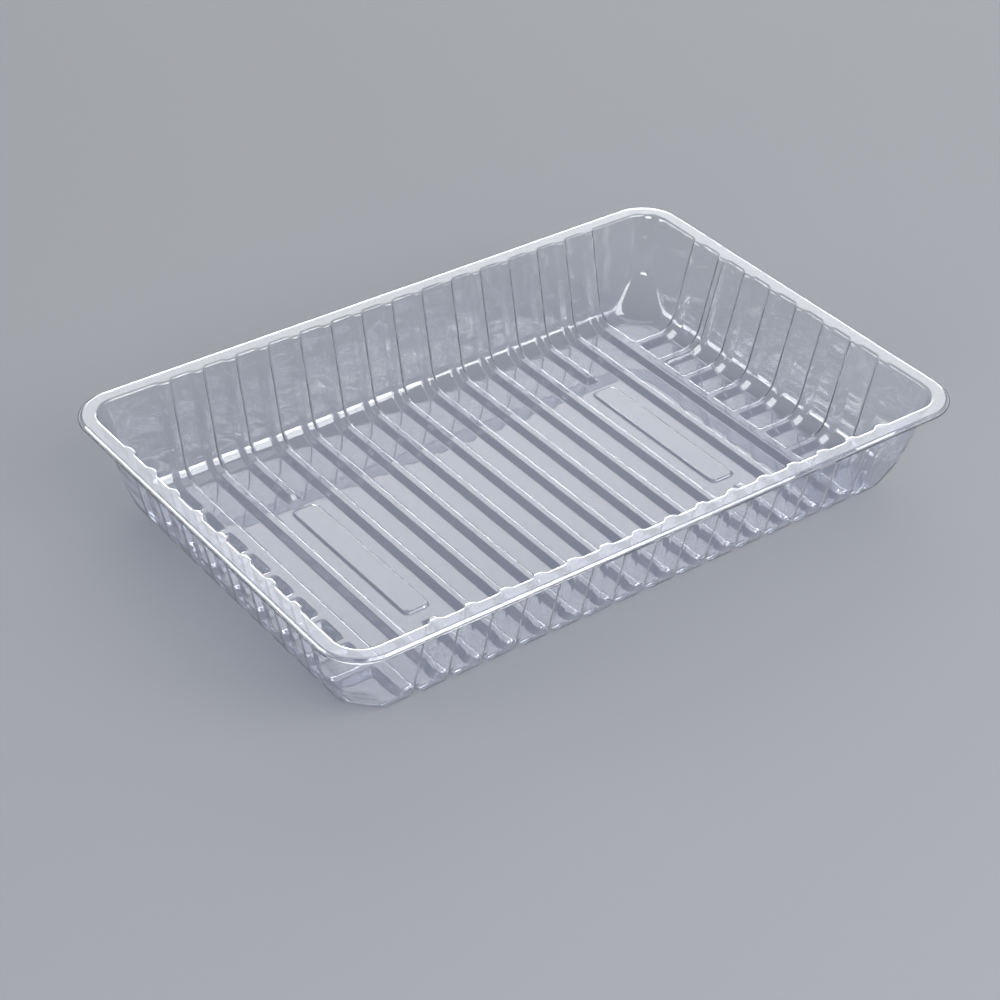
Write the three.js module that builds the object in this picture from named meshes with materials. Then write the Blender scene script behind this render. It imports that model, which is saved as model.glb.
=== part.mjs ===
import * as THREE from 'three';
import { mergeVertices } from 'three/addons/utils/BufferGeometryUtils.js';

// A clear tray for meat or fish, drawn in one piece from thin plastic sheet.
// Millimetres, +Z up, the long side along X, the floor resting on Z = 0 and the middle of the
// tray at X = Y = 0. Ribs stand inwards on the walls, turn through the heel and cross the floor.

// Over all
const LENGTH = 270;
const WIDTH = 180;
const HEIGHT = 40;
const SHEET = 0.4;

// Rim: a flat flange, a short skirt turned down from it and a trimmed lip turned out again
const FLANGE_REACH = 6.5;
const TRIM_RADIUS = 17;
const FLANGE_BEND = 0.7;
const SKIRT_BEND = 0.25;
const SKIRT_DROP = 1.4;
const LIP_REACH = 0.6;

// Walls and the heel between wall and floor
const DRAFT = THREE.MathUtils.degToRad(12.5);
const HEEL_RADIUS = 9.6;
const FLOOR_CORNER = 3;

// Ribs: half widths at the foot, at the shoulder and at the flat of the crest
const SIDE_PITCH = 13.8;
const SIDE_FOOT = 3.2;
const END_PITCH = 14.95;
const END_FOOT = 3.45;
const SHOULDER = 1.6;
const CREST = 1;
const RIB_RISE = 2.2;
const RIB_RISE_AT_RIM = 1.4;
const SHOULDER_RISE = 0.92;

// The outermost cross ribs are wider towards the pockets between the end ribs
const END_SHELF = 1.7;
const POCKET_LENGTH = 8;
const SIDE_POCKET = 8;

// The third cross rib from each end is broken by a low plate
const BREAK_PLACE = 2;
const STUB_TIP = 41.5;
const STUB_SLOPE = 2.4;
const STUB_ROUND = 1.6;
const PLATE_LENGTH = 72.6;
const PLATE_WIDTH = 11.4;
const PLATE_RADIUS = 2.8;
const PLATE_RISE = 0.8;
const PLATE_SLOPE = 0.6;

// Flat facet low in each corner
const FACET_TOP = 17;
const FACET_SLOPE = THREE.MathUtils.degToRad(48);
const FACET_EDGE = 1.5;
const FACET_FOOT = 6;

// Fineness of the curves
const HEEL_STEPS = 3;
const CORNER_STEPS = 4;
const EDGE_STEPS = 2;
const TRIM_STEPS = 6;
const PLATE_STEPS = 3;
const FACET_ROWS = [0.08, 0.19, 0.28];
const SNAP = 0.0001;

// Places that follow from the sizes above
const rimX = LENGTH / 2 - FLANGE_REACH;
const rimY = WIDTH / 2 - FLANGE_REACH;
const heelHeight = SHEET + HEEL_RADIUS;
const heelTurn = Math.PI / 2 - DRAFT;
const wallLean = (HEIGHT - heelHeight + HEEL_RADIUS * Math.sin(DRAFT)) * Math.tan(DRAFT);
const floorInset = wallLean + HEEL_RADIUS * Math.cos(DRAFT);
const floorX = rimX - floorInset;
const floorY = rimY - floorInset;
const cornerRadius = TRIM_RADIUS - FLANGE_REACH;

const shelfReach = SIDE_FOOT + END_SHELF;
const sideRibs = Math.floor((floorX - shelfReach - POCKET_LENGTH) / SIDE_PITCH);
const endRibs = Math.floor((floorY - END_FOOT - SIDE_POCKET) / END_PITCH + 0.5);
const lastSideRib = sideRibs * SIDE_PITCH;
const lastEndRib = (endRibs - 0.5) * END_PITCH;
const brokenRib = sideRibs - BREAK_PLACE;

// Rib section across its run: offset from the middle line and share of the full rise.
function ribSection(foot) {
  return [
    { offset: -foot, share: 0 },
    { offset: -SHOULDER, share: SHOULDER_RISE },
    { offset: -CREST, share: 1 },
    { offset: CREST, share: 1 },
    { offset: SHOULDER, share: SHOULDER_RISE },
    { offset: foot, share: 0 },
  ];
}

// Wall section from the foot of the heel to the flange at one place along a wall, as distance in
// from the rim line and height. The skin is 0 inside and SHEET outside. The share is the rib's.
function wallSection(skin, share, rows) {
  const radius = HEEL_RADIUS + skin - RIB_RISE * share;
  const heel = Array.from({ length: HEEL_STEPS + 1 }, (_, step) => {
    const turn = (heelTurn * step) / HEEL_STEPS;
    return { inset: floorInset - radius * Math.sin(turn), height: heelHeight - radius * Math.cos(turn) };
  });
  const bend = (FLANGE_BEND + SHEET - skin) * Math.tan(heelTurn / 2);
  const cornerInset = skin * Math.tan(DRAFT) - skin / Math.cos(DRAFT);
  const top = {
    inset: cornerInset + RIB_RISE_AT_RIM * share + bend * Math.sin(DRAFT),
    height: HEIGHT - skin - bend * Math.cos(DRAFT),
  };
  const foot = heel[HEEL_STEPS];
  const wall = rows.map((row) => ({
    inset: THREE.MathUtils.lerp(foot.inset, top.inset, row),
    height: THREE.MathUtils.lerp(foot.height, top.height, row),
  }));
  const flange = { inset: cornerInset + RIB_RISE_AT_RIM * share - bend, height: HEIGHT - skin };
  return [...heel, ...wall, top, flange];
}

// Distance of the facet from the middle of the tray, along the diagonal, at one height.
function facetDistance(skin, height) {
  const topInset = (HEIGHT - FACET_TOP) * Math.tan(DRAFT);
  const start = (rimX + rimY - 2 * topInset) / Math.SQRT2 - (Math.SQRT2 - 1) * cornerRadius;
  const onPlane = (z) => start - (FACET_TOP - z) / Math.tan(FACET_SLOPE) + skin / Math.sin(FACET_SLOPE);
  const radius = FACET_FOOT + skin;
  const floor = SHEET - skin;
  const blendTop = floor + radius * (1 - Math.cos(FACET_SLOPE));
  if (height >= blendTop) return onPlane(height);
  const rise = THREE.MathUtils.clamp((height - floor) / radius, 0, 1);
  const run = radius * Math.sqrt(rise * (2 - rise));
  return onPlane(blendTop) - radius * Math.sin(FACET_SLOPE) + run;
}

// Half of a corner outline at one level, from the wall to the middle of the corner: a straight
// run, the corner arc, and the small arc that turns into the facet. Returns [along, across] pairs
// in which across is the wall's own direction.
function halfOutline(start, alongWall, acrossWall, radius, facet) {
  const spread = THREE.MathUtils.degToRad(5);
  const reach = (alongWall + acrossWall) / Math.SQRT2 - Math.SQRT2 * radius;
  const cosine = (facet - reach - FACET_EDGE) / (radius - FACET_EDGE);
  let turn = Math.PI / 4 - 3 * spread;
  let last = Math.PI / 4 - spread;
  let edge = radius;
  let straightEnd = alongWall - radius;
  if (cosine < Math.cos(2 * spread)) {
    turn = Math.max(0, Math.PI / 4 - Math.acos(Math.max(-1, cosine)));
    last = Math.PI / 4;
    edge = FACET_EDGE;
    if (cosine < Math.SQRT1_2) straightEnd = Math.SQRT2 * (facet - edge) - (acrossWall - edge);
  }
  const points = [];
  const straight = straightEnd - start;
  const whole = straight + radius * turn;
  for (let step = 0; step <= CORNER_STEPS; step++) {
    const run = (whole * step) / CORNER_STEPS;
    if (run <= straight) {
      points.push([start + run, acrossWall]);
    } else {
      const angle = (run - straight) / radius;
      points.push([
        straightEnd + radius * Math.sin(angle),
        acrossWall - radius * (1 - Math.cos(angle)),
      ]);
    }
  }
  const centre = [
    straightEnd + (radius - edge) * Math.sin(turn),
    acrossWall - radius + (radius - edge) * Math.cos(turn),
  ];
  for (let step = 1; step <= EDGE_STEPS; step++) {
    const angle = THREE.MathUtils.lerp(turn, last, step / EDGE_STEPS);
    points.push([centre[0] + edge * Math.sin(angle), centre[1] + edge * Math.cos(angle)]);
  }
  return points;
}

// One level of a corner. The corner radius is even up the wall and tightens through the heel.
function cornerOutline(skin, start, level, heelTop) {
  const x = rimX - level.inset;
  const y = rimY - level.inset;
  const tightening = Math.max(0, level.inset - heelTop.inset);
  const radius = Math.max(FLOOR_CORNER, cornerRadius + skin - tightening);
  const facet = facetDistance(skin, level.height);
  const side = halfOutline(start.x, x, y, radius, facet);
  const end = halfOutline(start.y, y, x, radius, facet).map(([along, across]) => [across, along]);
  return [...side, ...end.reverse()].map(([px, py]) => new THREE.Vector3(px, py, level.height));
}

// Rounded rectangle through one quarter, from the Y axis round to the X axis.
function quarterLoop(inset, height) {
  const radius = TRIM_RADIUS - inset;
  const x = LENGTH / 2 - inset;
  const y = WIDTH / 2 - inset;
  const points = [new THREE.Vector3(0, y, height)];
  for (let step = 0; step <= TRIM_STEPS; step++) {
    const angle = (Math.PI / 2) * (step / TRIM_STEPS);
    points.push(new THREE.Vector3(
      x - radius + radius * Math.sin(angle),
      y - radius + radius * Math.cos(angle),
      height,
    ));
  }
  points.push(new THREE.Vector3(x, 0, height));
  return points;
}

// Collects triangles of one quarter of the tray.
class Quarter {
  constructor() {
    this.triangles = [];
  }

  add(a, b, c, flip) {
    this.triangles.push(flip ? [a, c, b] : [a, b, c]);
  }

  // Fills the band between two lines of points that run the same way.
  stitch(first, second, flip) {
    const lengths = (line) => {
      const sums = [0];
      for (let i = 1; i < line.length; i++) sums.push(sums[i - 1] + line[i].distanceTo(line[i - 1]));
      return sums.map((sum) => sum / sums[line.length - 1]);
    };
    const a = lengths(first);
    const b = lengths(second);
    let i = 0;
    let j = 0;
    while (i < first.length - 1 || j < second.length - 1) {
      const stepFirst = j === second.length - 1
        || (i < first.length - 1 && a[i + 1] <= b[j + 1]);
      if (stepFirst) {
        this.add(first[i], second[j], first[i + 1], flip);
        i += 1;
      } else {
        this.add(first[i], second[j], second[j + 1], flip);
        j += 1;
      }
    }
  }

  // Stitches each line to the next one.
  sweep(lines, flip) {
    for (let i = 1; i < lines.length; i++) this.stitch(lines[i - 1], lines[i], flip);
  }

  // Fills a level outline.
  fill(outline, flip) {
    const contour = outline.map((p) => new THREE.Vector2(p.x, p.y));
    for (const [a, b, c] of THREE.ShapeUtils.triangulateShape(contour, [])) {
      const turned = THREE.ShapeUtils.area([contour[a], contour[b], contour[c]]) < 0;
      this.add(outline[a], outline[b], outline[c], turned !== flip);
    }
  }
}

// Columns across the long wall, from the middle of the tray to the last rib's outer foot.
function sideColumns() {
  const columns = [{ x: 0, share: 1, rib: 0, outer: false }];
  for (let rib = 0; rib <= sideRibs; rib++) {
    for (const { offset, share } of ribSection(SIDE_FOOT)) {
      if (rib === 0 && offset <= 0) continue;
      columns.push({ x: rib * SIDE_PITCH + offset, share, rib, outer: rib === sideRibs && offset > 0 });
    }
  }
  return columns;
}

// Columns across the end wall, from the middle of the tray to the last rib's outer foot.
function endColumns() {
  const columns = [{ y: 0, share: 0 }];
  for (let rib = 0; rib < endRibs; rib++) {
    for (const { offset, share } of ribSection(END_FOOT)) {
      columns.push({ y: (rib + 0.5) * END_PITCH + offset, share });
    }
  }
  return columns;
}

// The shelf on the outermost cross rib fades out up the heel.
function shelfAt(column, row) {
  return column.outer ? END_SHELF * Math.max(0, 1 - row / HEEL_STEPS) : 0;
}

function buildSkin(quarter, skin) {
  const flip = skin > 0;
  const floor = SHEET - skin;
  const level = (share) => floor + RIB_RISE * share;
  const sides = sideColumns();
  const ends = endColumns();
  const lastSide = sides[sides.length - 1];
  const lastEnd = ends[ends.length - 1];

  // Long wall
  const sideLines = sides.map((column) => {
    const rows = column === lastSide ? FACET_ROWS : [];
    return wallSection(skin, column.share, rows).map(
      (p, row) => new THREE.Vector3(column.x + shelfAt(column, row), rimY - p.inset, p.height),
    );
  });
  quarter.sweep(sideLines, flip);

  // End wall
  const endLines = ends.map((column) => {
    const rows = column === lastEnd ? FACET_ROWS : [];
    return wallSection(skin, column.share, rows).map(
      (p) => new THREE.Vector3(rimX - p.inset, column.y, p.height),
    );
  });
  quarter.sweep(endLines, !flip);

  // Corner between them, level by level
  const levels = wallSection(skin, 0, FACET_ROWS);
  const cornerLevels = levels.map((p, row) => {
    const start = { x: lastSide.x + shelfAt(lastSide, row), y: lastEnd.y };
    return cornerOutline(skin, start, p, levels[HEEL_STEPS]);
  });
  quarter.sweep(cornerLevels, !flip);

  // Floor under the cross ribs
  const cross = (column) => column.x + shelfAt(column, 0);
  const plainLine = (column) => [
    new THREE.Vector3(cross(column), floorY, level(column.share)),
    new THREE.Vector3(cross(column), 0, level(column.share)),
  ];
  for (let i = 1; i < sides.length; i++) {
    const [a, b] = [sides[i - 1], sides[i]];
    const inBreak = a.rib === brokenRib || b.rib === brokenRib;
    if (!inBreak && !a.outer && !b.outer) quarter.stitch(plainLine(a), plainLine(b), !flip);
  }
  buildBreak(quarter, sides, floor, flip);
  buildEndFloor(quarter, sides, ends, cornerLevels[0], floor, flip);

  // Flange, with the ribs biting into its inner edge
  const inner = [
    ...sideLines.map((line) => line[line.length - 1]),
    ...cornerLevels[cornerLevels.length - 1].slice(1, -1),
    ...endLines.map((line) => line[line.length - 1]).reverse(),
  ];
  const bendInset = LIP_REACH + SHEET + SKIRT_BEND;
  const outer = quarterLoop(bendInset, HEIGHT - skin);
  quarter.fill([...inner, ...outer.reverse()], flip);

  // Skirt and lip
  const skirtInset = LIP_REACH + skin;
  const lipHeight = HEIGHT - SKIRT_DROP + SHEET - skin;
  const rim = [
    quarterLoop(bendInset, HEIGHT - skin),
    quarterLoop(skirtInset, HEIGHT - SHEET - SKIRT_BEND),
    quarterLoop(skirtInset, lipHeight),
    quarterLoop(0, lipHeight),
  ];
  quarter.sweep(rim, !flip);
}

// The broken cross rib: a stub at the wall and a low plate over the middle of the floor.
function buildBreak(quarter, sides, floor, flip) {
  const middle = brokenRib * SIDE_PITCH;
  const section = sides.filter((column) => column.rib === brokenRib);
  const fade = [0, 0, 1 - SHOULDER_RISE, 1];
  const stub = section.map((column) => {
    const rounding = STUB_ROUND * ((column.x - middle) / SIDE_FOOT) ** 2;
    const tip = STUB_TIP + rounding;
    const places = [floorY, tip + STUB_SLOPE, tip + STUB_SLOPE * 0.8, tip];
    return places.map((y, row) => new THREE.Vector3(
      column.x,
      y,
      floor + RIB_RISE * column.share * (1 - fade[row]),
    ));
  });
  quarter.sweep(stub, !flip);

  const plateLine = (grow, height) => {
    const half = PLATE_WIDTH / 2 - grow;
    const end = PLATE_LENGTH / 2 - grow;
    const radius = PLATE_RADIUS - grow;
    const points = [new THREE.Vector3(middle - half, 0, height)];
    for (const side of [-1, 1]) {
      for (let step = 0; step <= PLATE_STEPS; step++) {
        const share = side < 0 ? step / PLATE_STEPS : 1 - step / PLATE_STEPS;
        const angle = (Math.PI / 2) * share;
        points.push(new THREE.Vector3(
          middle + side * (half - radius + radius * Math.cos(angle)),
          end - radius + radius * Math.sin(angle),
          height,
        ));
      }
    }
    points.push(new THREE.Vector3(middle + half, 0, height));
    return points;
  };
  const foot = plateLine(0, floor);
  const top = plateLine(PLATE_SLOPE, floor + PLATE_RISE);
  quarter.stitch(foot, top, flip);
  quarter.fill(top, flip);

  const before = middle - SIDE_PITCH + SIDE_FOOT;
  const after = middle + SIDE_PITCH - SIDE_FOOT;
  const corner = (x, y) => new THREE.Vector3(x, y, floor);
  const tips = stub.map((line) => line[line.length - 1]);
  quarter.fill([
    corner(before, 0),
    ...foot,
    corner(after, 0),
    corner(after, floorY),
    ...stub[stub.length - 1],
    ...tips.slice(1, -1).reverse(),
    ...[...stub[0]].reverse(),
    corner(before, floorY),
  ], flip);
}

// The end of the floor: the outermost cross rib with the end ribs run into it, the pockets
// between them, and the level corner outside both.
function buildEndFloor(quarter, sides, ends, cornerFoot, floor, flip) {
  const outer = sides.filter((column) => column.outer);
  const inner = sides[sides.length - outer.length - 1];
  const shelf = outer.map((column) => ({ x: column.x + END_SHELF, share: column.share }));
  const edges = [...shelf, { x: floorX, share: 0 }];
  const lines = ends.map((column) => edges.map((edge) => new THREE.Vector3(
    edge.x,
    column.y,
    floor + RIB_RISE * (1 - (1 - edge.share) * (1 - column.share)),
  )));
  quarter.sweep(lines, !flip);

  const lastLine = lines[lines.length - 1];
  const crestLine = [...lines.map((line) => line[0]), new THREE.Vector3(shelf[0].x, floorY, floor + RIB_RISE)];
  const innerLine = [
    new THREE.Vector3(inner.x, 0, floor + RIB_RISE),
    new THREE.Vector3(inner.x, floorY, floor + RIB_RISE),
  ];
  quarter.stitch(innerLine, crestLine, flip);

  const flank = shelf.map((edge, i) => [
    lastLine[i],
    new THREE.Vector3(edge.x, floorY, floor + RIB_RISE * edge.share),
  ]);
  quarter.sweep(flank, flip);

  const foot = flank.length - 1;
  quarter.fill([lastLine[foot], ...cornerFoot], flip);
}

// Mirrors the quarter into the whole tray.
function wholeTray(quarter) {
  const positions = [];
  const snap = (value) => Math.round(value / SNAP) * SNAP;
  for (const [mx, my] of [[1, 1], [-1, 1], [-1, -1], [1, -1]]) {
    for (const triangle of quarter.triangles) {
      const order = mx * my > 0 ? triangle : [triangle[0], triangle[2], triangle[1]];
      for (const p of order) positions.push(snap(p.x * mx), snap(p.y * my), snap(p.z));
    }
  }
  const geometry = new THREE.BufferGeometry();
  geometry.setAttribute('position', new THREE.Float32BufferAttribute(positions, 3));
  return mergeVertices(geometry, SNAP / 2);
}

const quarter = new Quarter();
buildSkin(quarter, 0);
buildSkin(quarter, SHEET);
const trimTop = quarterLoop(0, HEIGHT - SKIRT_DROP + SHEET);
const trimFoot = quarterLoop(0, HEIGHT - SKIRT_DROP);
quarter.stitch(trimTop, trimFoot, true);

const clearPlastic = new THREE.MeshStandardMaterial({
  color: 0xe2e5f0,
  roughness: 0.08,
  metalness: 0,
  transparent: true,
  opacity: 0.35,
  side: THREE.FrontSide,
});

const geometry = wholeTray(quarter);
geometry.computeVertexNormals();
const tray = new THREE.Mesh(geometry, clearPlastic);
tray.name = 'tray';

const model = new THREE.Group();
model.add(tray);
export default model;
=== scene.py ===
import math

import bmesh
import bpy
from mathutils import Matrix, Vector


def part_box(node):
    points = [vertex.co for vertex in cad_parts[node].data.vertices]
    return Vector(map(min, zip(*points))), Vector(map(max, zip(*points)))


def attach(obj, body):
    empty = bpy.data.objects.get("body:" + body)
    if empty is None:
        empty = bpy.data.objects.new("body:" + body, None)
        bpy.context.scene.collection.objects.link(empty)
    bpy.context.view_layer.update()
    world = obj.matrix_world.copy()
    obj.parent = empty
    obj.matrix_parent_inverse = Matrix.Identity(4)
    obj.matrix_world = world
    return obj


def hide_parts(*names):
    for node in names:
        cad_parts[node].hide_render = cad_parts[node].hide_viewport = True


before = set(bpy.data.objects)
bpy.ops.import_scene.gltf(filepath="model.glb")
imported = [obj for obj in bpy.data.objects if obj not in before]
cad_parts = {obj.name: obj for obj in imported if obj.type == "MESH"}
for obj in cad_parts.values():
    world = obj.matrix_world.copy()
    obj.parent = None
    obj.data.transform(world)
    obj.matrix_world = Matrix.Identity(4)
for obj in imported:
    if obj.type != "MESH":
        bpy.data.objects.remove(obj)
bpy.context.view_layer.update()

# Camera
# It stands where the photograph was taken from: in front of the near left corner, well above the
# rim and rolled by two degrees, with a long lens.
camera_place = Vector((-0.4602, -0.5819, 0.5309))
camera_aim = Vector((-0.0070, 0.0005, 0.0))
camera_roll = math.radians(2.03)
camera = bpy.data.objects.new("camera", bpy.data.cameras.new("camera"))
camera.data.sensor_width = 36.0
camera.data.lens = 89.9
camera.data.clip_start = 0.05
facing = (camera_aim - camera_place).to_track_quat("-Z", "Y").to_matrix().to_4x4()
roll = Matrix.Rotation(camera_roll, 4, "Z")
camera.matrix_world = Matrix.Translation(camera_place) @ facing @ roll
bpy.context.scene.collection.objects.link(camera)
bpy.context.scene.camera = camera

# Tray, shape of the mould
# The tray is one sheet of clear plastic, warmed and drawn down onto a ribbed mould, then trimmed
# round the rim. These are the mould's sizes. The sheet takes the shape of one quarter of it first.
mm = 0.001
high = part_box("tray")[1]
half_x, half_y, top = high.x, high.y, high.z
sheet = 0.4 * mm

# The rim: a flat flange, a short chamfer down from it, and a thin lip where the sheet was cut.
flange_reach, trim_radius, flange_bend = 6.5 * mm, 17 * mm, 1.1 * mm
skirt_run, skirt_drop, lip_reach = 0.7 * mm, 1.4 * mm, 0.6 * mm
skirt_ease = 0.15

# The walls, which lean outwards, and the heel that turns them into the floor.
draft = math.radians(12.5)
heel_radius, floor_corner = 9.6 * mm, 9 * mm

# The ribs: half the width of a rib's foot and of its flat crest, and its rise at foot and rim.
side_ribs, side_pitch, side_foot = 7, 13.8 * mm, 3.2 * mm
end_ribs, end_pitch, end_foot = 4, 14.95 * mm, 3.45 * mm
crest, rise_low, rise_high = 1.3 * mm, 2.2 * mm, 1.4 * mm
end_shelf = 1.7 * mm

# The broken rib, which leaves two stubs and a low plate between them.
broken_rib, stub_tip, stub_slope = 5, 41.5 * mm, 2.2 * mm
plate_long, plate_wide, plate_radius = 72.6 * mm, 11.4 * mm, 2.8 * mm
plate_rise, plate_slope = 0.8 * mm, 0.8 * mm

# The flat facet across the lower half of each corner.
facet_top, facet_slope, facet_edge = 16.3 * mm, math.radians(53.7), 2.2 * mm

rim_x = half_x - flange_reach
rim_y = half_y - flange_reach
heel_centre = sheet + heel_radius
heel_turn = math.pi / 2 - draft
wall_lean = (top - heel_centre + heel_radius * math.sin(draft)) * math.tan(draft)
floor_inset = wall_lean + heel_radius * math.cos(draft)
floor_x = rim_x - floor_inset
floor_y = rim_y - floor_inset
corner_radius = trim_radius - flange_reach


def mix(a, b, share):
    return a + (b - a) * share


def clamp(value):
    return min(1.0, max(0.0, value))


def ramp(share, soft=0.2):
    """A straight slope from 0 to 1 with its two ends eased, as drawn sheet lies over an edge."""
    share = clamp(share)
    scale = 2 * soft * (1 - soft)
    if share < soft:
        return share * share / scale
    if share > 1 - soft:
        return 1 - (1 - share) ** 2 / scale
    return (share - soft / 2) / (1 - soft)


def ridge(offset, foot, flat=crest):
    """Height share of a rib at a distance from its middle line."""
    return ramp((foot - abs(offset)) / (foot - flat))


# Lines of the sheet across the ribs, closer together on the slopes and beside their edges.
beside = 0.5 * mm
slopes = (1.0, 0.8, 0.2, 0.0)


def rib_lines(middle, foot):
    edges = [foot + beside] + [mix(crest, foot, share) for share in slopes] + [crest - beside]
    return [middle - e for e in edges] + [middle + e for e in edges]


across_x = [0.0] + [line for line in rib_lines(0.0, side_foot) if line > 0]
for rib in range(1, side_ribs + 1):
    across_x += rib_lines(rib * side_pitch, side_foot)
plate_shares = (-0.3, 0.0, 0.25, 0.75, 1.0, 1.3)
for inside in plate_shares:
    edge = plate_wide / 2 - plate_slope * inside
    across_x += [broken_rib * side_pitch - edge, broken_rib * side_pitch + edge]
across_x.sort()
across_y = [0.0]
for rib in range(end_ribs):
    across_y += rib_lines((rib + 0.5) * end_pitch, end_foot)
across_y += [plate_long / 2 - plate_slope * inside for inside in plate_shares]
stub_ease = 0.14
stub_shares = (0.0, stub_ease, 1 - stub_ease, 1.0, 1.2)
across_y += [stub_tip + stub_slope * share for share in stub_shares]
across_y.sort()
shelf_x = across_x[-1] + end_shelf
foot_y = across_y[-1]

# Levels of the sheet from the outermost ribs' feet up the wall and out to the trimmed edge.
levels = [("floor", share) for share in (0.5, 1.0)]
heel_steps, bend_steps = 8, 3
wall_shares = (0.06, 0.12, 0.18, 0.24, 0.28, 0.3, 0.35, 0.97, 1.0)
levels += [("heel", step / heel_steps) for step in range(1, heel_steps + 1)]
levels += [("wall", share) for share in wall_shares]
levels += [("bend", step / bend_steps) for step in range(1, bend_steps + 1)]
levels += [("flange", share) for share in (0.22, 0.9, 1.0)]
levels += [("skirt", share) for share in (0.25, 0.75, 1.0)]
levels += [("lip", share) for share in (0.3, 1.0)]


def wall_point(level, share):
    """Distance in from the rim line and height, for a rib's share of its full rise."""
    part, along = level
    radius = heel_radius - rise_low * share
    if part == "heel":
        turn = heel_turn * along
        return floor_inset - radius * math.sin(turn), heel_centre - radius * math.cos(turn)
    in_foot = floor_inset - radius * math.sin(heel_turn)
    up_foot = heel_centre - radius * math.cos(heel_turn)
    tangent = flange_bend * math.tan(heel_turn / 2)
    in_top = rise_high * share + tangent * math.sin(draft)
    up_top = top - tangent * math.cos(draft)
    if part == "wall":
        return mix(in_foot, in_top, along), mix(up_foot, up_top, along)
    edge = rise_high * share - tangent
    if part == "bend":
        turn = heel_turn * (1 - along)
        return edge + flange_bend * math.sin(turn), top - flange_bend * (1 - math.cos(turn))
    return edge, top


def facet_distance(height):
    """How far the corner facet lies from the middle of the tray, along the diagonal."""
    inset = (top - facet_top) * math.tan(draft)
    start = (rim_x + rim_y - 2 * inset) / math.sqrt(2) - (math.sqrt(2) - 1) * corner_radius
    return start - (facet_top - height) / math.tan(facet_slope)


def half_outline(start, along_wall, across_wall, radius, facet, share):
    """A point of a corner's outline, from the wall at share 0 to the middle of the corner at 1."""
    reach = (along_wall + across_wall) / math.sqrt(2) - math.sqrt(2) * radius
    cosine = (facet - reach - facet_edge) / (radius - facet_edge)
    turn, edge, straight_end = math.pi / 4, radius, along_wall - radius
    if cosine < 1:
        turn = max(0.0, math.pi / 4 - math.acos(max(-1.0, cosine)))
        edge = facet_edge
        if cosine < math.sqrt(0.5):
            straight_end = math.sqrt(2) * (facet - edge) - (across_wall - edge)
    straight = straight_end - start
    centre = Vector((straight_end + (radius - edge) * math.sin(turn),
                     across_wall - radius + (radius - edge) * math.cos(turn)))
    facet_start = centre + edge * Vector((math.sqrt(0.5), math.sqrt(0.5)))
    middle = facet * Vector((math.sqrt(0.5), math.sqrt(0.5)))
    middle += Vector((0.5, -0.5)) * (along_wall - across_wall)
    flat = (middle - facet_start).length if cosine < 1 else 0.0
    spans = (straight, radius * turn, edge * (math.pi / 4 - turn), flat)
    run = share * sum(spans)
    if run <= spans[0]:
        return Vector((start + run, across_wall))
    run -= spans[0]
    if run <= spans[1]:
        angle = run / radius
        return Vector((straight_end + radius * math.sin(angle),
                       across_wall - radius * (1 - math.cos(angle))))
    run -= spans[1]
    if run <= spans[2]:
        angle = turn + run / edge
        return centre + edge * Vector((math.sin(angle), math.cos(angle)))
    run -= spans[2]
    return facet_start + (middle - facet_start) * clamp(run / flat if flat else 0.0)


def floor_height(x, y):
    """The floor with its cross ribs, the stubs, the end ribs, the pockets and the plates."""
    rib = min(side_ribs, round(x / side_pitch))
    offset = x - rib * side_pitch
    height = ridge(offset, side_foot)
    if rib == side_ribs and offset > 0:
        height = ramp((side_foot + end_shelf - offset) / (side_foot - crest))
    if rib == broken_rib:
        height = min(height, ramp((y - stub_tip) / stub_slope, stub_ease))
    beyond = x - side_ribs * side_pitch
    if beyond > 0:
        end_rib = min(end_ribs - 1, max(0, int(y / end_pitch)))
        across = ridge(y - (end_rib + 0.5) * end_pitch, end_foot)
        height = 1 - (1 - height) * (1 - across)
    plate_x = abs(x - broken_rib * side_pitch) - plate_wide / 2 + plate_radius
    plate_y = abs(y) - plate_long / 2 + plate_radius
    outside = math.hypot(max(plate_x, 0), max(plate_y, 0)) + min(max(plate_x, plate_y), 0)
    plate = ramp((plate_radius - outside) / plate_slope)
    return sheet + max(rise_low * height, plate_rise * plate)


def rim_point(level):
    """Distance in from the trimmed edge and height, on the skirt and the lip."""
    part, along = level
    foot = top - skirt_drop + sheet
    if part == "flange":
        return mix(flange_reach, lip_reach + skirt_run, along), top
    if part == "skirt":
        return lip_reach + skirt_run * (1 - along), mix(top, foot, ramp(along, skirt_ease))
    return mix(lip_reach, 0.0, along), foot


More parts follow.
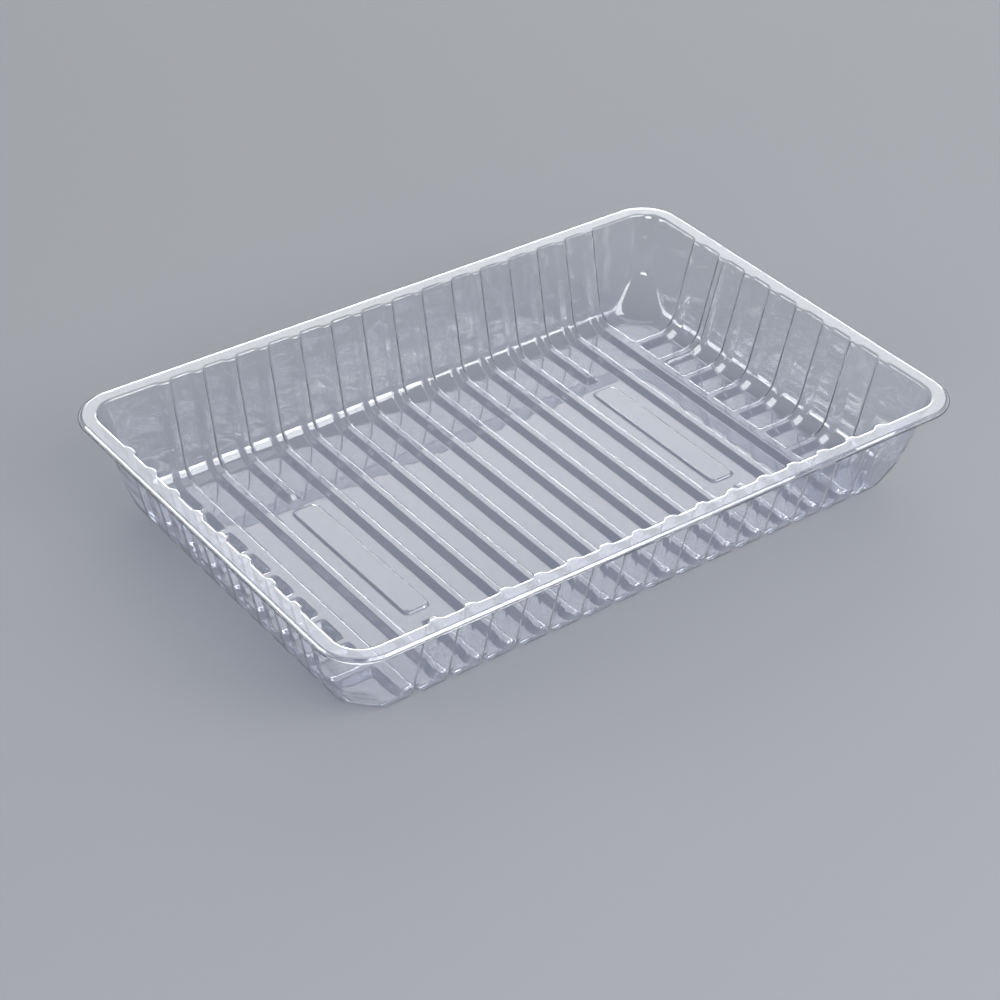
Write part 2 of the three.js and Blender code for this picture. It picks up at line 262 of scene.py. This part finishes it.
def sheet_point(i, j):
    """Where line i of the sheet along the tray crosses line j across it, once drawn."""
    last_i, last_j = len(across_x) - 1, len(across_y) - 1
    out_i, out_j = max(0, i - last_i), max(0, j - last_j)
    i, j = min(i, last_i), min(j, last_j)
    shelf = end_shelf if across_x[i] > side_ribs * side_pitch + 0.5 * crest else 0.0
    if not out_i and not out_j:
        x, y = across_x[i] + shelf, across_y[j]
        return Vector((x, y, floor_height(x, y)))
    level = levels[max(out_i, out_j) - 1]
    part, along = level
    fade = {"floor": 1.0, "heel": 1 - along}.get(part, 0.0)
    start = Vector((across_x[i] + shelf * fade, across_y[j], 0))
    share = 0.0
    if not out_i:
        rib = min(side_ribs, round(across_x[i] / side_pitch))
        share = ridge(across_x[i] - rib * side_pitch, side_foot)
    if not out_j:
        rib = min(end_ribs - 1, int(across_y[j] / end_pitch))
        share = ridge(across_y[j] - (rib + 0.5) * end_pitch, end_foot)
    if part == "floor":
        if out_i and out_j:
            pivot = Vector((shelf_x, foot_y, sheet))
            edge = corner_point(start, floor_inset, sheet, out_i, out_j)
            return pivot + (edge - pivot) * along
        x = mix(shelf_x, floor_x, along) if out_i else start.x
        y = mix(foot_y, floor_y, along) if out_j else start.y
        return Vector((x, y, floor_height(x, y)))
    if part in ("heel", "wall", "bend"):
        inset, height = wall_point(level, share)
    else:
        inset, height = rim_point(level)
        inset -= flange_reach
    if not out_i:
        return Vector((start.x, rim_y - inset, height))
    if not out_j:
        return Vector((rim_x - inset, start.y, height))
    return corner_point(start, inset, height, out_i, out_j)


def corner_point(start, inset, height, out_i, out_j):
    """A point of the corner's outline at one level, by how far out it lies each way."""
    tight_from = floor_inset - heel_radius * math.sin(heel_turn)
    radius = max(floor_corner, corner_radius - max(0.0, inset - tight_from))
    if inset < 0:
        radius = corner_radius - inset
    x, y = rim_x - inset, rim_y - inset
    share = min(out_i, out_j) / max(out_i, out_j)
    facet = facet_distance(height)
    if out_j >= out_i:
        point = half_outline(start.x, x, y, radius, facet, share)
        return Vector((point.x, point.y, height))
    point = half_outline(start.y, y, x, radius, facet, share)
    return Vector((point.y, point.x, height))


# Tray, drawing and trimming
# A flat quarter of the sheet is laid out, drawn onto the mould, and mirrored into the whole tray.
# The sheet then gets its thickness on the outside, so the inside keeps the mould's sizes.
lines_x = len(across_x) - 1 + len(levels)
lines_y = len(across_y) - 1 + len(levels)
drawn = bmesh.new()
bmesh.ops.create_grid(drawn, x_segments=lines_x, y_segments=lines_y, size=1.0)
for vert in drawn.verts:
    i = round((vert.co.x + 1) / 2 * lines_x)
    j = round((vert.co.y + 1) / 2 * lines_y)
    vert.co = sheet_point(i, j)
same_place = 0.01 * mm
for axis in ("X", "Y"):
    bmesh.ops.mirror(drawn, geom=drawn.verts[:] + drawn.edges[:] + drawn.faces[:], axis=axis,
                     merge_dist=same_place)
bmesh.ops.remove_doubles(drawn, verts=drawn.verts, dist=same_place)
bmesh.ops.recalc_face_normals(drawn, faces=drawn.faces)
middle_face = min(drawn.faces, key=lambda face: face.calc_center_median().length)
if middle_face.normal.z < 0:
    bmesh.ops.reverse_faces(drawn, faces=drawn.faces)
for face in drawn.faces:
    face.smooth = True
tray_mesh = bpy.data.meshes.new("drawn_tray")
drawn.to_mesh(tray_mesh)
drawn.free()
sharp_bend = math.radians(75)
tray_mesh.set_sharp_from_angle(angle=sharp_bend)
tray = bpy.data.objects.new("drawn_tray", tray_mesh)
bpy.context.scene.collection.objects.link(tray)
wall = tray.modifiers.new("sheet", "SOLIDIFY")
wall.thickness = sheet
wall.offset = -1.0
wall.use_even_offset = True
wall.use_quality_normals = True

# Tray, clear plastic
# Polyester sheet, water clear with a faint lilac cast, glossy on both sides. Drawing stretches the
# walls most, which leaves slow waves in them and a faint haze. Light passes it nearly unbent.
clear = bpy.data.materials.new("clear_sheet")
clear.use_nodes = True
nodes, links = clear.node_tree.nodes, clear.node_tree.links
plastic = nodes["Principled BSDF"]
faint_lilac = (0.86, 0.875, 0.92, 1.0)
plastic.inputs["Base Color"].default_value = faint_lilac
plastic.inputs["Transmission Weight"].default_value = 0.975
plastic.inputs["IOR"].default_value = 1.6
plastic.inputs["Specular IOR Level"].default_value = 0.75
place = nodes.new("ShaderNodeTexCoord")
stretch = nodes.new("ShaderNodeMapping")
stretch.inputs["Scale"].default_value = (0.45, 0.45, 1.2)
links.new(place.outputs["Object"], stretch.inputs["Vector"])

waves = nodes.new("ShaderNodeTexNoise")
waves.inputs["Scale"].default_value = 150.0
waves.inputs["Detail"].default_value = 0.0
links.new(stretch.outputs["Vector"], waves.inputs["Vector"])
part_of_place = nodes.new("ShaderNodeSeparateXYZ")
links.new(place.outputs["Object"], part_of_place.inputs["Vector"])
drawn_far = nodes.new("ShaderNodeMapRange")
drawn_far.inputs["From Min"].default_value = 4 * mm
drawn_far.inputs["From Max"].default_value = 14 * mm
links.new(part_of_place.outputs["Z"], drawn_far.inputs["Value"])
wave_height = nodes.new("ShaderNodeMath")
wave_height.operation = "MULTIPLY"
links.new(waves.outputs["Fac"], wave_height.inputs[0])
links.new(drawn_far.outputs["Result"], wave_height.inputs[1])
ripple = nodes.new("ShaderNodeBump")
ripple.inputs["Strength"].default_value = 0.5
ripple.inputs["Distance"].default_value = 0.5 * mm
links.new(wave_height.outputs["Value"], ripple.inputs["Height"])
links.new(ripple.outputs["Normal"], plastic.inputs["Normal"])

haze = nodes.new("ShaderNodeTexNoise")
haze.inputs["Scale"].default_value = 45.0
links.new(place.outputs["Object"], haze.inputs["Vector"])
gloss = nodes.new("ShaderNodeMapRange")
gloss.inputs["To Min"].default_value = 0.01
gloss.inputs["To Max"].default_value = 0.04
links.new(haze.outputs["Fac"], gloss.inputs["Value"])
links.new(gloss.outputs["Result"], plastic.inputs["Roughness"])

rays = nodes.new("ShaderNodeLightPath")
unbent = nodes.new("ShaderNodeBsdfTransparent")
light_shade = (0.82, 0.835, 0.88, 1.0)
unbent.inputs["Color"].default_value = light_shade
shown = plastic.outputs["BSDF"]
for kind in ("Is Shadow Ray", "Is Diffuse Ray"):
    passing = nodes.new("ShaderNodeMixShader")
    links.new(rays.outputs[kind], passing.inputs["Fac"])
    links.new(shown, passing.inputs[1])
    links.new(unbent.outputs["BSDF"], passing.inputs[2])
    shown = passing.outputs["Shader"]
links.new(shown, nodes["Material Output"].inputs["Surface"])
tray.data.materials.append(clear)
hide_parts("tray")
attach(tray, "root")

# Studio floor
# A plain pale sheet of matt paper under and round the tray. Far from the tray it shows the
# backdrop's even colour, so that no edge of the sheet is seen behind the tray.
ground_half, ground_gap = 3.0, 0.2 * mm
ground = bmesh.new()
bmesh.ops.create_grid(ground, x_segments=1, y_segments=1, size=ground_half)
bmesh.ops.translate(ground, verts=ground.verts, vec=(0, 0, -ground_gap))
floor_mesh = bpy.data.meshes.new("studio_floor")
ground.to_mesh(floor_mesh)
ground.free()
floor = bpy.data.objects.new("studio_floor", floor_mesh)
bpy.context.scene.collection.objects.link(floor)
pale_ground = (0.37, 0.38, 0.41, 1.0)
paper = bpy.data.materials.new("pale_paper")
paper.use_nodes = True
nodes, links = paper.node_tree.nodes, paper.node_tree.links
paper_surface = nodes["Principled BSDF"]
paper_grey = (0.33, 0.34, 0.365, 1.0)
paper_surface.inputs["Base Color"].default_value = paper_grey
paper_surface.inputs["Roughness"].default_value = 0.9
paper_surface.inputs["Specular IOR Level"].default_value = 0.1
place = nodes.new("ShaderNodeTexCoord")
way_out = nodes.new("ShaderNodeVectorMath")
way_out.operation = "LENGTH"
links.new(place.outputs["Object"], way_out.inputs[0])
far_off = nodes.new("ShaderNodeMapRange")
far_off.interpolation_type = "SMOOTHSTEP"
fade_start, fade_end = 0.5, 1.1
far_off.inputs["From Min"].default_value = fade_start
far_off.inputs["From Max"].default_value = fade_end
links.new(way_out.outputs["Value"], far_off.inputs["Value"])
even = nodes.new("ShaderNodeEmission")
even.inputs["Color"].default_value = pale_ground


def seen_rays(nodes, links, kinds):
    """1 for camera rays and rays of the kinds named, so the clear sheet shows the ground too."""
    rays = nodes.new("ShaderNodeLightPath")
    seen = rays.outputs["Is Camera Ray"]
    for kind in kinds:
        either = nodes.new("ShaderNodeMath")
        either.operation = "MAXIMUM"
        links.new(seen, either.inputs[0])
        links.new(rays.outputs[kind], either.inputs[1])
        seen = either.outputs["Value"]
    return seen


far_share = nodes.new("ShaderNodeMath")
far_share.operation = "MULTIPLY"
seen_share = seen_rays(nodes, links, ("Is Glossy Ray", "Is Transmission Ray"))
links.new(seen_share, far_share.inputs[0])
links.new(far_off.outputs["Result"], far_share.inputs[1])
ground_mix = nodes.new("ShaderNodeMixShader")
links.new(far_share.outputs["Value"], ground_mix.inputs["Fac"])
links.new(paper_surface.outputs["BSDF"], ground_mix.inputs[1])
links.new(even.outputs["Emission"], ground_mix.inputs[2])
links.new(ground_mix.outputs["Shader"], nodes["Material Output"].inputs["Surface"])
floor.data.materials.append(paper)

# Studio light
# Soft lamps round the tray in a dim room. The flat sheet mirrors the gentle lamp high behind it,
# and edges that turn away mirror the strip under that one. The key lamp stands in front.
world = bpy.data.worlds.new("surround")
world.use_nodes = True
nodes, links = world.node_tree.nodes, world.node_tree.links
dim_room = nodes["Background"]
room_tint, room_strength = (0.9, 0.93, 1.0, 1.0), 0.07
dim_room.inputs["Color"].default_value = room_tint
dim_room.inputs["Strength"].default_value = room_strength
backdrop = nodes.new("ShaderNodeBackground")
backdrop.inputs["Color"].default_value = pale_ground
room_mix = nodes.new("ShaderNodeMixShader")
links.new(seen_rays(nodes, links, ("Is Transmission Ray",)), room_mix.inputs["Fac"])
links.new(dim_room.outputs["Background"], room_mix.inputs[1])
links.new(backdrop.outputs["Background"], room_mix.inputs[2])
links.new(room_mix.outputs["Shader"], nodes["World Output"].inputs["Surface"])
bpy.context.scene.world = world


mid_tray = Vector((0, 0, 0.02))


def soft_lamp(name, place, size, radiance):
    """A rectangular lamp that faces the tray, of the same brightness wherever it stands."""
    lamp = bpy.data.lights.new(name, "AREA")
    lamp.shape = "RECTANGLE"
    lamp.size, lamp.size_y = size
    lamp.energy = radiance * math.pi * size[0] * size[1]
    light = bpy.data.objects.new(name, lamp)
    aim = (mid_tray - Vector(place)).to_track_quat("-Z", "Y").to_matrix().to_4x4()
    light.matrix_world = Matrix.Translation(place) @ aim
    bpy.context.scene.collection.objects.link(light)


soft_lamp("key_softbox", (0.22, -1.38, 1.11), (1.52, 1.3), 4.8)
soft_lamp("front_strip", (1.06, -1.26, 0.77), (1.2, 0.3), 6.5)
soft_lamp("top_softbox", (0.1, 0.0, 1.9), (1.5, 1.5), 0.8)
soft_lamp("back_softbox", (0.85, 1.09, 0.99), (1.7, 0.85), 2.2)
soft_lamp("back_strip", (1.08, 1.27, 0.24), (1.6, 0.22), 11.0)
soft_lamp("left_softbox", (-1.36, 0.78, 0.33), (1.3, 0.42), 7.0)
soft_lamp("front_softbox", (-1.36, -1.12, 0.60), (0.7, 0.5), 8.0)

bpy.context.scene.view_settings.view_transform = "Standard"
